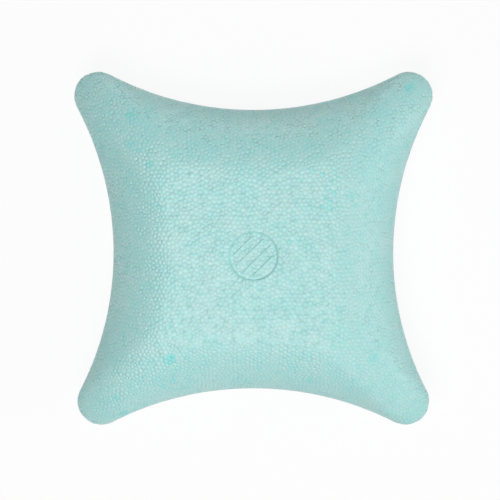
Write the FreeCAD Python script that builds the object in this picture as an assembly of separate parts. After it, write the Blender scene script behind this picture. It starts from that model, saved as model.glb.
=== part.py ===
import FreeCAD, Part
import math
import os

# A pillow-shaped floral foam form: two half mouldings of fused foam beads, set on each other by four
# pegs and glued face to face. Millimetres, +Z up, origin in the middle of the flat seat underneath.

# The pillow
overall_width = 200.0  # from tip to tip along one side
waist_width = 157.0  # between the middles of two opposite sides
thickness = 60.0  # from the lower seat to the upper one
tip_radius = 13.5  # of the rounded tips, seen from above
seat_width = 98.0  # the flat seat, corner to corner along one side
seat_waist = 87.0  # the flat seat, between the middles of two opposite sides
side_fullness = 1.8  # exponent of the curve that rolls a side over to the seat; 2 is an ellipse
ridge_fullness = 1.4  # the same exponent along the ridges that run out to the tips
section_count = 11  # outlines that each half is lofted through
loft_degree = 3  # a higher one ripples beside the seat

# The glue line between the halves
glue_thickness = 0.4
glue_margin = 1.0  # the glue stops this far short of the outline

# The pegs on the lower half and their sockets in the upper one
peg_spacing = 78.0  # between neighbouring pegs
peg_root_radius = 8.0
peg_end_radius = 6.5
peg_height = 9.0
peg_clearance = 0.4

# The round mark that the mould's vented plug leaves in the upper seat
plug_radius = 13.5  # at the seat
plug_depth = 0.8
plug_draft = 0.5  # the mark's floor is this much smaller all round, so that the plug pulls free
rib_count = 4
rib_width = 1.1
rib_height = 0.5
rib_pitch = 5.2
rib_turn = 45.0  # degrees from +X
rib_margin = 2.2  # between a rib's end and the edge of the mark's floor

# What follows from them
half_height = (thickness - glue_thickness) / 2
lower_face = half_height
upper_face = half_height + glue_thickness

UP = FreeCAD.Vector(0, 0, 1)


def at(x, y, z=0.0):
    return FreeCAD.Vector(x, y, z)


def outline(width, waist, tip, z):
    """A closed wire of four hollow sides, each an arc tangent to the round tips at its ends."""
    reach = width / 2
    middle = waist / 2
    tip_centre = reach - tip
    hollow = reach - middle
    side_radius = (tip_centre**2 + (tip_centre - middle) ** 2 - tip**2) / (2 * hollow)
    side_centre = middle + side_radius
    share = side_radius / (side_radius + tip)
    near = side_centre + (tip_centre - side_centre) * share
    far = tip_centre * share
    nose = tip_centre + tip / math.sqrt(2)
    edges = []
    for quarter in range(4):
        turn = FreeCAD.Rotation(UP, 90 * quarter)
        start, mid, end, tip_mid, next_start = (
            turn.multVec(at(x, y, z))
            for x, y in ((near, -far), (middle, 0), (near, far), (nose, nose), (far, near))
        )
        edges.append(Part.Arc(start, mid, end).toShape())
        edges.append(Part.Arc(end, tip_mid, next_start).toShape())
    return Part.Wire(edges)


def rolled(rim, seat, height_share, fullness):
    """A width at a share of the half's height, on the curve that rolls from the rim in to the seat."""
    return seat + (rim - seat) * (1 - height_share**fullness) ** (1 / fullness)


def half_pillow():
    """One half with its glued face on z = 0 and its seat half_height above."""
    wires = []
    for step in range(section_count):
        share = math.sin(math.pi / 2 * step / (section_count - 1))
        width = rolled(overall_width, seat_width, share, ridge_fullness)
        waist = rolled(waist_width, seat_waist, share, side_fullness)
        wires.append(outline(width, waist, tip_radius, share * half_height))
    return Part.makeLoft(wires, True, False, False, loft_degree)


def peg_places():
    half = peg_spacing / 2
    return [at(x, y) for x in (-half, half) for y in (-half, half)]


def pegs(grow, start):
    """The four pegs, grown all over by a clearance, standing up from the height start."""
    cones = []
    for place in peg_places():
        cone = Part.makeCone(
            peg_root_radius + grow, peg_end_radius + grow, peg_height + grow, place + UP * start
        )
        cones.append(cone)
    return cones


def plug_mark():
    """What the mould's plug takes out of the upper seat: a shallow disc, less its upstanding ribs."""
    floor = thickness - plug_depth
    floor_radius = plug_radius - plug_draft
    disc = Part.makeCone(floor_radius, plug_radius, plug_depth, at(0, 0, floor))
    ribs = []
    for number in range(rib_count):
        offset = (number - (rib_count - 1) / 2) * rib_pitch
        half_length = math.sqrt((floor_radius - rib_margin) ** 2 - offset**2)
        corner = at(-half_length, offset - rib_width / 2, floor)
        ribs.append(Part.makeBox(2 * half_length, rib_width, rib_height, corner))
    ribs = Part.makeCompound(ribs)
    ribs.rotate(at(0, 0), UP, rib_turn)
    return disc.cut(ribs)


def lower_half():
    body = half_pillow().mirror(at(0, 0), UP)
    body.translate(UP * lower_face)
    return body.fuse(pegs(0.0, lower_face)).removeSplitter()


def upper_half():
    body = half_pillow()
    body.translate(UP * upper_face)
    sockets = pegs(peg_clearance, lower_face)
    return body.cut(sockets).cut(plug_mark())


def seam_glue():
    width = overall_width - 2 * glue_margin
    waist = waist_width - 2 * glue_margin
    inner = outline(width, waist, tip_radius - glue_margin, lower_face)
    film = Part.Face(inner).extrude(UP * glue_thickness)
    return film.cut(pegs(peg_clearance, lower_face))


def write(name, shape):
    solids = shape.Solids
    if not solids or not all(solid.isValid() for solid in solids):
        raise ValueError(f"{name} is not a set of valid solids")
    kept = solids[0] if len(solids) == 1 else Part.makeCompound(solids)
    kept.exportStep(f"parts/{name}.step")
    print(f"{name}: {len(solids)} solid, {kept.Volume / 1000:.1f} cm3")


os.makedirs("parts", exist_ok=True)
write("upper_half", upper_half())
write("lower_half", lower_half())
write("seam_glue", seam_glue())
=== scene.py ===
import math
import random

import bmesh
import bpy
from mathutils import Matrix, Vector
from mathutils.bvhtree import BVHTree


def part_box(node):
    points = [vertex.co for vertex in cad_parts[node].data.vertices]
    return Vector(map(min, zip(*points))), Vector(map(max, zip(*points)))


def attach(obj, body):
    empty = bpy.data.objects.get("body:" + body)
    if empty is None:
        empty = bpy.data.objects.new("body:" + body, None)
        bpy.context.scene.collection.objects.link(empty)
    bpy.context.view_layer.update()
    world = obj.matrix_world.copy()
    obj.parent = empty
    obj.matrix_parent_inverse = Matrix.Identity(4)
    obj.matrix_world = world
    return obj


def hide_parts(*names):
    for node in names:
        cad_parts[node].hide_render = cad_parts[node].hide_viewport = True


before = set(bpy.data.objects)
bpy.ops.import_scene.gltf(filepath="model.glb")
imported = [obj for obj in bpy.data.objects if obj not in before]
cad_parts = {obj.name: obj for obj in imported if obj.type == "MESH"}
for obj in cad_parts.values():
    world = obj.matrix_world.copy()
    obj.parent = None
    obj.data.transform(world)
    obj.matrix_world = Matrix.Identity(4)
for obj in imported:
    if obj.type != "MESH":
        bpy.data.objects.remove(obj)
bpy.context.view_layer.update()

# The mould
# Each half of the form is blown into the same steam mould: a shallow pillow with four hollow sides and
# round tips. Its polished wall is what the beads flatten themselves against, and the rim between its two
# shells is where the parting plane runs.
upper_bottom, upper_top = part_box("upper_half")
pillow_top = upper_top.z
tip_reach = upper_top.x
parting_height = pillow_top / 2
lower_face_height = pillow_top - upper_bottom.z
upper_face_height = upper_bottom.z
join_distance = 1e-6
level_tolerance = 1e-5


def cad_copy(node):
    """A bmesh of a CAD node with its loose triangles joined."""
    copy = bmesh.new()
    copy.from_mesh(bpy.data.objects[node].data)
    bmesh.ops.remove_doubles(copy, verts=copy.verts, dist=join_distance)
    return copy


def mould_cavity():
    """The lower half's outside and its mirror image above, closed along the rim."""
    cavity = cad_copy("lower_half")
    lowest_glued = lower_face_height - level_tolerance
    glued = [f for f in cavity.faces if f.calc_center_median().z > lowest_glued]
    bmesh.ops.delete(cavity, geom=glued, context="FACES")
    for vert in cavity.verts:
        if vert.is_boundary:
            vert.co.z = parting_height
    everything = cavity.verts[:] + cavity.edges[:] + cavity.faces[:]
    upper = bmesh.ops.duplicate(cavity, geom=everything)["geom"]
    upper_verts = [part for part in upper if isinstance(part, bmesh.types.BMVert)]
    to_middle = Matrix.Translation((0, 0, -parting_height))
    bmesh.ops.scale(cavity, verts=upper_verts, vec=(1, 1, -1), space=to_middle)
    rim = [vert for vert in cavity.verts if vert.is_boundary]
    bmesh.ops.remove_doubles(cavity, verts=rim, dist=level_tolerance)
    bmesh.ops.recalc_face_normals(cavity, faces=cavity.faces)
    return cavity


cavity = mould_cavity()
cavity_wall = BVHTree.FromBMesh(cavity)


# The beads
# The mould is filled with loose beads of expanded polystyrene about 2.3 mm across. Steam swells them until
# they press flat against the wall and each other, so that the skin is a pavement of five to seven-sided
# faces. None of them straddles the parting plane or the wall of the vent plug's mark.
bead_pitch = 0.00235
row_gap = bead_pitch * math.sqrt(3) / 2
mark_radius = 0.0135
wall_tolerance = 1e-7  # a place this near a wall counts as above or inside it
voxel_size = 0.00227  # of the first, square mesh of bead middles
shake_share = 0.3  # of the pitch, each way
crowded_share = 0.72  # neighbours nearer than this share of the pitch become one bead
settling_count = 10
thinning_count = 6  # the first settlings thin the crowd, and the later ones obey the walls
smoothing_count = 2
groove_depth = 0.00018
# painted shade in the grooves and pits, a darker colour standing in for the shade that falls in them
groove_painted_shade_share = 0.68  # the colour's share in a groove, which a pit brings up to 1
pit_depth = 0.00055
pit_rarity = 5  # the higher, the fewer corners are deep pits
crown_share = 0.75
crown_round = 0.000026
crown_lean = 0.028
faintest_tone = 0.01  # 0 is kept for faces that aren't beads


def above_parting(place):
    return place.z > parting_height - wall_tolerance


def to_parting(place, gap):
    """The place moved to the given height above or below the parting plane."""
    return Vector((place.x, place.y, parting_height + gap))


def in_mark(place):
    return place.z > parting_height and place.xy.length < mark_radius + wall_tolerance


def to_mark(place, gap):
    """The place moved in to the circle of the mark, and then inward by the gap."""
    turned = place.xy.normalized() * (mark_radius - gap)
    return Vector((turned.x, turned.y, place.z))


def pack_against(place, is_inside, move_to):
    """Keeps a bead's middle half a row clear of a wall that beads don't straddle."""
    inside = is_inside(place)
    on_wall = move_to(place, 0)
    if (place - on_wall).length < row_gap / 2:
        return move_to(place, row_gap / 2 if inside else -row_gap / 2)
    return place


def spread_evenly(middles, walls, chance):
    """Shakes the mesh of bead middles and settles it until the beads are about a pitch apart."""
    for vert in middles.verts:
        vert.co += Vector([chance.uniform(-shake_share, shake_share) * bead_pitch for _ in range(3)])
    for settling in range(settling_count):
        thinning = settling < thinning_count
        taken = set()
        crowded = []
        for edge in sorted(middles.edges, key=lambda e: e.calc_length()):
            if not thinning or edge.calc_length() > crowded_share * bead_pitch:
                break
            first, second = ({e.other_vert(v) for e in v.link_edges} for v in edge.verts)
            if len(first & second) == 2 and not (first | second) & taken:
                taken |= first | second
                crowded.append(edge)
        bmesh.ops.collapse(middles, edges=crowded)
        bmesh.ops.beautify_fill(middles, faces=middles.faces, edges=middles.edges, method="AREA")
        for _ in range(smoothing_count):
            bmesh.ops.smooth_vert(
                middles, verts=middles.verts, factor=0.5, use_axis_x=True, use_axis_y=True, use_axis_z=True
            )
        for vert in middles.verts:
            vert.co = cavity_wall.find_nearest(vert.co)[0]
            for is_inside, move_to in [] if thinning else walls:
                vert.co = pack_against(vert.co, is_inside, move_to)


def lay_beads(walls, seed):
    """The whole pillow paved with bead faces: a mesh of bead middles, turned into its dual."""
    chance = random.Random(seed)
    blank = bpy.data.meshes.new("blank")
    cavity.to_mesh(blank)
    blank_piece = bpy.data.objects.new("blank", blank)
    bpy.context.collection.objects.link(blank_piece)
    remesh = blank_piece.modifiers.new("even", "REMESH")
    remesh.mode = "VOXEL"
    remesh.voxel_size = voxel_size
    bpy.context.view_layer.update()
    evaluated = blank_piece.evaluated_get(bpy.context.evaluated_depsgraph_get())
    beads = bmesh.new()
    beads.from_mesh(evaluated.to_mesh())
    bpy.data.objects.remove(blank_piece)
    beads.faces.layers.float.new("tone")
    beads.faces.layers.float.new("dye")
    # the painted shade of the grooves and pits, held at each corner
    beads.verts.layers.float.new("groove_painted_shade")

    bmesh.ops.triangulate(beads, faces=beads.faces)
    spread_evenly(beads, walls, chance)
    middles = beads.verts[:]
    spans = beads.edges[:]
    corners = bmesh.ops.poke(beads, faces=beads.faces)["verts"]
    for corner in corners:
        around = [edge.other_vert(corner).co for edge in corner.link_edges]
        for is_inside, move_to in walls:
            if len({is_inside(place) for place in around}) == 2:
                corner.co = move_to(corner.co, 0)
    bmesh.ops.rotate_edges(beads, edges=spans, use_ccw=False)
    bmesh.ops.dissolve_verts(beads, verts=middles)
    return beads


def swell_beads(skin, beads, chance):
    """Gives each bead its flat crown, the sunk furrow round it with painted shade along it, and its own
    tint.
    """
    tone = skin.faces.layers.float["tone"]
    groove_painted_shade = skin.verts.layers.float["groove_painted_shade"]
    skin.normal_update()
    sunk = {}
    for bead in beads:
        bead[tone] = chance.uniform(faintest_tone, 1)
        for corner in bead.verts:
            if corner not in sunk:
                # painted shade at each groove corner, deeper where the corner is a pit
                pit = chance.random() ** pit_rarity
                corner[groove_painted_shade] = groove_painted_shade_share + (1 - groove_painted_shade_share) * pit
                sunk[corner] = corner.co - corner.normal * (groove_depth + pit_depth * pit)
    level = {bead: (bead.calc_center_median(), bead.normal.copy()) for bead in beads}
    bmesh.ops.inset_individual(skin, faces=beads, thickness=0, depth=0)
    for bead in beads:
        middle, normal = level[bead]
        lean = Vector([chance.uniform(-crown_lean, crown_lean) for _ in range(3)])
        for vert in bead.verts:
            vert[groove_painted_shade] = 0
            across = (vert.co - middle) * crown_share
            vert.co = middle + across - normal * (crown_round + abs(across.dot(lean)))
    for corner, place in sunk.items():
        corner.co = place
    crowns = bmesh.ops.poke(skin, faces=beads)["verts"]
    for crown in crowns:
        crown[groove_painted_shade] = 0


# The foam
# Expanded polystyrene, dyed pale turquoise through and through. Each bead took the dye a little
# differently and a few took much more of it. The grooves and pits between the crowns get painted shade, a
# darker colour.
foam_pale = (0.60, 0.81, 0.79, 1)
foam_turquoise = (0.37, 0.77, 0.75, 1)
foam_deep = (0.27, 0.745, 0.735, 1)
# the darker colour painted into the grooves and pits as shade
foam_painted_groove_shade = (0.24, 0.52, 0.50, 1)
foam_dyed = (0.10, 0.76, 0.74, 1)
cloud_scale = 63
cloud_span = (0.38, 0.66)
cloud_shares = (0.1, 0.38)
patch_scale = 110
patch_span = (0.52, 0.76)
patch_shares = (0.0, 0.3)
tone_shares = (0.0, 0.34)
# how far the painted groove shade goes towards that darker colour
painted_groove_shade_span = (0.2, 1.0)
painted_groove_shade_shares = (0.0, 0.66)
grain_scale = 3000


def bead_foam():
    material = bpy.data.materials.new("bead_foam")
    material.use_nodes = True
    nodes = material.node_tree.nodes
    links = material.node_tree.links
    shader = nodes["Principled BSDF"]
    place = nodes.new("ShaderNodeTexCoord")

    def attribute(name):
        node = nodes.new("ShaderNodeAttribute")
        node.attribute_name = name
        return node.outputs["Fac"]

    def noise(scale, detail, roughness=0.5):
        node = nodes.new("ShaderNodeTexNoise")
        node.inputs["Scale"].default_value = scale
        node.inputs["Detail"].default_value = detail
        node.inputs["Roughness"].default_value = roughness
        links.new(place.outputs["Object"], node.inputs["Vector"])
        return node.outputs["Fac"]

    def ranged(value, span, shares):
        node = nodes.new("ShaderNodeMapRange")
        for name, size in zip(("From Min", "From Max", "To Min", "To Max"), span + shares):
            node.inputs[name].default_value = size
        links.new(value, node.inputs["Value"])
        return node.outputs["Result"]

    def blended(share, under, over):
        node = nodes.new("ShaderNodeMix")
        node.data_type = "RGBA"
        links.new(share, node.inputs["Factor"])
        for name, colour in (("A", under), ("B", over)):
            socket = next(s for s in node.inputs if s.name == name and s.type == "RGBA")
            if isinstance(colour, tuple):
                socket.default_value = colour
            else:
                links.new(colour, socket)
        return next(s for s in node.outputs if s.type == "RGBA")

    clouds = ranged(noise(cloud_scale, detail=3), cloud_span, cloud_shares)
    patches = ranged(noise(patch_scale, detail=2), patch_span, patch_shares)
    tints = ranged(attribute("tone"), (0.0, 1.0), tone_shares)
    # painted shade: the grooves and pits are blended towards the darker colour
    painted_groove_shade_mix = ranged(attribute("groove_painted_shade"), painted_groove_shade_span, painted_groove_shade_shares)
    colour = blended(clouds, foam_turquoise, foam_pale)
    colour = blended(patches, colour, foam_deep)
    colour = blended(tints, colour, foam_pale)
    colour = blended(attribute("dye"), colour, foam_dyed)
    colour = blended(painted_groove_shade_mix, colour, foam_painted_groove_shade)
    links.new(colour, shader.inputs["Base Color"])

    shader.inputs["Roughness"].default_value = 0.4
    shader.inputs["Specular IOR Level"].default_value = 0.6
    shader.inputs["Sheen Weight"].default_value = 0.08
    shader.inputs["Sheen Roughness"].default_value = 0.4
    shader.inputs["Subsurface Weight"].default_value = 0.12
    shader.inputs["Subsurface Scale"].default_value = 0.0017
    grain = nodes.new("ShaderNodeBump")
    grain.inputs["Strength"].default_value = 0.25
    grain.inputs["Distance"].default_value = 0.00005
    links.new(noise(grain_scale, detail=3, roughness=0.6), grain.inputs["Height"])
    links.new(grain.outputs["Normal"], shader.inputs["Normal"])
    return material


foam = bead_foam()


# The dye spots
# Here and there a few neighbouring beads took most of the dye. The largest spots stand near the shoulders
# and the tips, each at a place in metres from the middle and with its own share of dye. Small ones are
# strewn over the rest.
large_spots = [
    (-0.046, -0.057, 0.85),
    (-0.0557, 0.0497, 0.5),
    (0.0861, 0.0912, 0.62),
    (0.0657, -0.0571, 0.4),
    (-0.0669, 0.0758, 0.4),
    (-0.0665, 0.061, 0.3),
    (0.0405, 0.0283, 0.32),
    (0.053, 0.033, 0.25),
]
large_spot_radius = 0.0037
small_spot_count = 46
small_spot_radii = (0.001, 0.003)
small_spot_strengths = (0.12, 0.5)
fade_share = 0.5  # of a spot's radius, from its edge in to its full strength
palest_dyed = 0.4  # the least of a spot's strength that one of its beads takes


def dye_beads(skin, beads, spots, chance):
    dye = skin.faces.layers.float["dye"]
    places = {bead: bead.calc_center_median() for bead in beads}
    strewn = [(Vector((x, y)), large_spot_radius, strength) for x, y, strength in spots]
    for place in chance.sample(list(places.values()), small_spot_count):
        strewn.append((place.xy, chance.uniform(*small_spot_radii), chance.uniform(*small_spot_strengths)))
    for bead, place in places.items():
        for spot, radius, strength in strewn:
            share = 1 - (place.xy - spot).length / radius
            if share > 0:
                taken_up = strength * chance.uniform(palest_dyed, 1) * min(1, share / fade_share)
                bead[dye] = max(bead[dye], taken_up)


# The lower half
# The half moulding underneath, all of bead foam. Its flat face carries the four pegs that set the upper
# half in register while the glue dries.
plain_corner = math.radians(35)
plain_tone = 0.5
fitting_reach = 0.012  # a little more than a peg's height or a socket's depth
lower_seed = 21


def keep_half(skin, above):
    """Drops the bead faces beyond the parting plane."""
    beyond = [f for f in skin.faces if all(above_parting(v.co) for v in f.verts) != above]
    bmesh.ops.delete(skin, geom=beyond, context="FACES")
    return [v for v in skin.verts if v.is_boundary]


def close_face(skin, rim, node, height):
    """Lays the flat glued face between the rim and the node's pegs or sockets, which it takes over."""
    for vert in rim:
        vert.co.z = height
    fitting = cad_copy(node)
    others = []
    for face in fitting.faces:
        middle = face.calc_center_median()
        near_face = abs(middle.z - height) < fitting_reach
        on_face = abs(middle.z - height) < level_tolerance
        if on_face or not near_face or max(abs(middle.x), abs(middle.y)) > tip_reach / 2:
            others.append(face)
    bmesh.ops.delete(fitting, geom=others, context="FACES")
    fitting_mesh = bpy.data.meshes.new("fitting")
    fitting.to_mesh(fitting_mesh)
    skin.from_mesh(fitting_mesh)
    open_edges = [e for e in skin.edges if e.is_boundary]
    face_edges = [e for e in open_edges if abs(e.verts[0].co.z - height) < level_tolerance]
    bmesh.ops.triangle_fill(skin, edges=face_edges, use_beauty=True)


def finish_piece(skin, name, material):
    """The mesh made into a piece at the origin, smooth but for the sharp corners of its plain faces."""
    bmesh.ops.recalc_face_normals(skin, faces=skin.faces)
    tone = skin.faces.layers.float["tone"]
    plain = [face for face in skin.faces if face[tone] == 0]
    for face in plain:
        face[tone] = plain_tone
        for edge in face.edges:
            edge.smooth = edge.calc_face_angle(math.pi) < plain_corner
    for face in skin.faces:
        face.smooth = True
    mesh = bpy.data.meshes.new(name)
    skin.to_mesh(mesh)
    mesh.materials.append(material)
    piece = bpy.data.objects.new(name, mesh)
    bpy.context.collection.objects.link(piece)
    return piece


def lower_half():
    chance = random.Random(lower_seed)
    skin = lay_beads([(above_parting, to_parting)], lower_seed)
    rim = keep_half(skin, above=False)
    beads = skin.faces[:]
    dye_beads(skin, beads, [], chance)
    swell_beads(skin, beads, chance)
    close_face(skin, rim, "lower_half", lower_face_height)
    return finish_piece(skin, "lower_half_beads", foam)


lower_piece = lower_half()
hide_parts("lower_half")
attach(lower_piece, "root")


# The glue film
# A thin coat of milky contact glue between the flat faces. It stops short of the outline, so the seam
# stays open as a fine shadow line all round.
glue_dim = (0.42, 0.55, 0.50, 1)
glue_milky = (0.62, 0.72, 0.66, 1)
streak_scale = 140


def glue_film():
    material = bpy.data.materials.new("glue_film")
    material.use_nodes = True
    nodes = material.node_tree.nodes
    links = material.node_tree.links
    shader = nodes["Principled BSDF"]
    place = nodes.new("ShaderNodeTexCoord")
    streaks = nodes.new("ShaderNodeTexNoise")
    streaks.inputs["Scale"].default_value = streak_scale
    links.new(place.outputs["Object"], streaks.inputs["Vector"])
    tint = nodes.new("ShaderNodeValToRGB")
    tint.color_ramp.elements[0].color = glue_dim
    tint.color_ramp.elements[1].color = glue_milky
    links.new(streaks.outputs["Fac"], tint.inputs["Fac"])
    links.new(tint.outputs["Color"], shader.inputs["Base Color"])
    shader.inputs["Roughness"].default_value = 0.4
    return material


glue_mesh = bpy.data.objects["seam_glue"].data
glue_mesh.materials.clear()
glue_mesh.materials.append(glue_film())


# The upper half
# The half moulding on top, of the same beads. In the middle of its seat the mould's vent plug leaves a
# shallow round mark, whose floor is paved with beads too and carries four plain ribs across.
# The mark's sloping wall and its two edges carry a little painted shade.
mark_depth = 0.0008
mark_floor_radius = 0.013
# painted shade on the mark's wall and edges, as a share of the painted groove colour
mark_wall_painted_shade = 0.38
mark_reach = 0.002  # below the seat, where no edge is open but the mark's
rib_circle = 0.0125  # the ribs stay within this radius
rib_bevel = 0.00035
rib_root = 0.00035
rib_tolerance = 2e-5
flat_angle = 0.02
upper_seed = 12


def sink_mark(skin):
    """Parts the mark's floor from the seat round it and lowers it."""
    floor = [f for f in skin.faces if all(in_mark(v.co) for v in f.verts)]
    inner = set(floor)
    ring = [e for e in skin.edges if len({f in inner for f in e.link_faces}) == 2]
    bmesh.ops.split_edges(skin, edges=ring)
    shrink = mark_floor_radius / mark_radius
    for vert in {v for face in floor for v in face.verts}:
        vert.co = Vector((vert.co.x * shrink, vert.co.y * shrink, vert.co.z - mark_depth))


def wall_mark(skin):
    """Joins the sunk floor to the seat with the sloping wall that the plug left, and paints a little shade
    on the wall and along its edges.
    """
    loops = [e for e in skin.edges if e.is_boundary and e.verts[0].co.z > pillow_top - mark_reach]
    wall = bmesh.ops.bridge_loops(skin, edges=loops)["faces"]
    tone = skin.faces.layers.float["tone"]
    groove_painted_shade = skin.verts.layers.float["groove_painted_shade"]
    for face in wall:
        face[tone] = 0
        for vert in face.verts:
            # painted shade along the mark's wall
            vert[groove_painted_shade] = mark_wall_painted_shade


def add_ribs(skin):
    """The CAD's ribs, with eased edges and rooted in the floor."""
    ribs = cad_copy("upper_half")
    lowest = pillow_top - mark_depth + rib_tolerance
    highest = pillow_top - rib_tolerance
    others = []
    for face in ribs.faces:
        middle = face.calc_center_median()
        if not lowest <= middle.z <= highest or middle.xy.length > rib_circle:
            others.append(face)
    bmesh.ops.delete(ribs, geom=others, context="FACES")
    bmesh.ops.dissolve_limit(ribs, angle_limit=flat_angle, verts=ribs.verts, edges=ribs.edges)
    roots = [e for e in ribs.edges if e.is_boundary]
    for vert in {v for edge in roots for v in edge.verts}:
        vert.co.z -= rib_root
    bmesh.ops.holes_fill(ribs, edges=roots, sides=0)
    upper_edges = [e for e in ribs.edges if min(v.co.z for v in e.verts) > lowest]
    bmesh.ops.bevel(
        ribs, geom=upper_edges, offset=rib_bevel, segments=2, profile=0.5, affect="EDGES", material=-1
    )
    rib_mesh = bpy.data.meshes.new("ribs")
    ribs.to_mesh(rib_mesh)
    skin.from_mesh(rib_mesh)


def upper_half():
    chance = random.Random(upper_seed)
    skin = lay_beads([(above_parting, to_parting), (in_mark, to_mark)], upper_seed)
    rim = keep_half(skin, above=True)
    beads = skin.faces[:]
    sink_mark(skin)
    dye_beads(skin, beads, large_spots, chance)
    swell_beads(skin, beads, chance)
    wall_mark(skin)
    close_face(skin, rim, "upper_half", upper_face_height)
    add_ribs(skin)
    return finish_piece(skin, "upper_half_beads", foam)


upper_piece = upper_half()
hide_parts("upper_half")
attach(upper_piece, "root")


# The table and the light
# White paper on a table, in a pale room. The strongest soft lamp hangs high towards the front. Two weaker
# ones fill in, from low on the right and from just above the table behind.
table_reach = 2.5
paper_white = (0.9, 0.9, 0.9, 1)
paper_glow = 0.92
room_light = 0.15
lamp_distance = 1.3
lamp_size = 0.6


def seen_directly(tree):
    """Is 1 where the camera, a reflection or a look through something meets the surface, otherwise 0."""
    ray = tree.nodes.new("ShaderNodeLightPath")
    seen = ray.outputs["Is Camera Ray"]
    for kind in ("Is Glossy Ray", "Is Transmission Ray"):
        either = tree.nodes.new("ShaderNodeMath")
        either.operation = "ADD"
        either.use_clamp = True
        tree.links.new(seen, either.inputs[0])
        tree.links.new(ray.outputs[kind], either.inputs[1])
        seen = either.outputs["Value"]
    return seen


def white_paper():
    """Matt white, most of which the camera sees as plain white, so that only part of a shadow shows."""
    material = bpy.data.materials.new("white_paper")
    material.use_nodes = True
    tree = material.node_tree
    shader = tree.nodes["Principled BSDF"]
    shader.inputs["Base Color"].default_value = paper_white
    shader.inputs["Roughness"].default_value = 0.9
    share = tree.nodes.new("ShaderNodeMath")
    share.operation = "MULTIPLY"
    share.inputs[1].default_value = paper_glow
    tree.links.new(seen_directly(tree), share.inputs[0])
    glow = tree.nodes.new("ShaderNodeEmission")
    glow.inputs["Strength"].default_value = 1
    mix = tree.nodes.new("ShaderNodeMixShader")
    tree.links.new(share.outputs["Value"], mix.inputs["Fac"])
    tree.links.new(shader.outputs["BSDF"], mix.inputs[1])
    tree.links.new(glow.outputs["Emission"], mix.inputs[2])
    tree.links.new(mix.outputs["Shader"], tree.nodes["Material Output"].inputs["Surface"])
    return material


table_mesh = bpy.data.meshes.new("table")
table_top = bmesh.new()
bmesh.ops.create_grid(table_top, x_segments=1, y_segments=1, size=table_reach)
table_top.to_mesh(table_mesh)
table_mesh.materials.append(white_paper())
table = bpy.data.objects.new("table", table_mesh)
bpy.context.collection.objects.link(table)


def pale_room():
    """An even white room light. The camera sees the room itself as a plain pale grey."""
    world = bpy.data.worlds.new("pale_room")
    world.use_nodes = True
    tree = world.node_tree
    room = tree.nodes["Background"]
    room.inputs["Color"].default_value = (1, 1, 1, 1)
    room.inputs["Strength"].default_value = room_light
    backdrop = tree.nodes.new("ShaderNodeBackground")
    backdrop.inputs["Strength"].default_value = 1
    mix = tree.nodes.new("ShaderNodeMixShader")
    tree.links.new(seen_directly(tree), mix.inputs["Fac"])
    tree.links.new(room.outputs["Background"], mix.inputs[1])
    tree.links.new(backdrop.outputs["Background"], mix.inputs[2])
    tree.links.new(mix.outputs["Shader"], tree.nodes["World Output"].inputs["Surface"])
    return world


bpy.context.scene.world = pale_room()


def soft_lamp(name, turn, height, power):
    """A square lamp that looks at the form from a turn about it and a height, both in degrees."""
    light = bpy.data.lights.new(name, "AREA")
    light.shape = "SQUARE"
    light.size = lamp_size
    light.energy = power
    lamp = bpy.data.objects.new(name, light)
    lamp.rotation_euler = (math.radians(90 - height), 0, math.radians(90 + turn))
    lamp.location = lamp.rotation_euler.to_matrix() @ Vector((0, 0, lamp_distance))
    bpy.context.collection.objects.link(lamp)


soft_lamp("front_lamp", turn=250, height=73, power=10.2)
soft_lamp("side_lamp", turn=355, height=26, power=4.6)
soft_lamp("back_lamp", turn=90, height=4, power=4.4)


# The camera
# It hangs nearly straight over the form and leans a little from behind, so that the far side shows a
# touch more of its wall.
camera_distance = 1.04
camera_lean = math.radians(6.4)
view_width = 0.2803
aim = Vector((-0.0019, 0, parting_height))
camera_data = bpy.data.cameras.new("camera")
camera_data.lens = camera_data.sensor_width * camera_distance / view_width
camera = bpy.data.objects.new("camera", camera_data)
camera.rotation_euler = (-camera_lean, 0, 0)
camera.location = aim + Vector((0, math.sin(camera_lean), math.cos(camera_lean))) * camera_distance
bpy.context.collection.objects.link(camera)
bpy.context.scene.camera = camera
bpy.context.scene.view_settings.view_transform = "Standard"
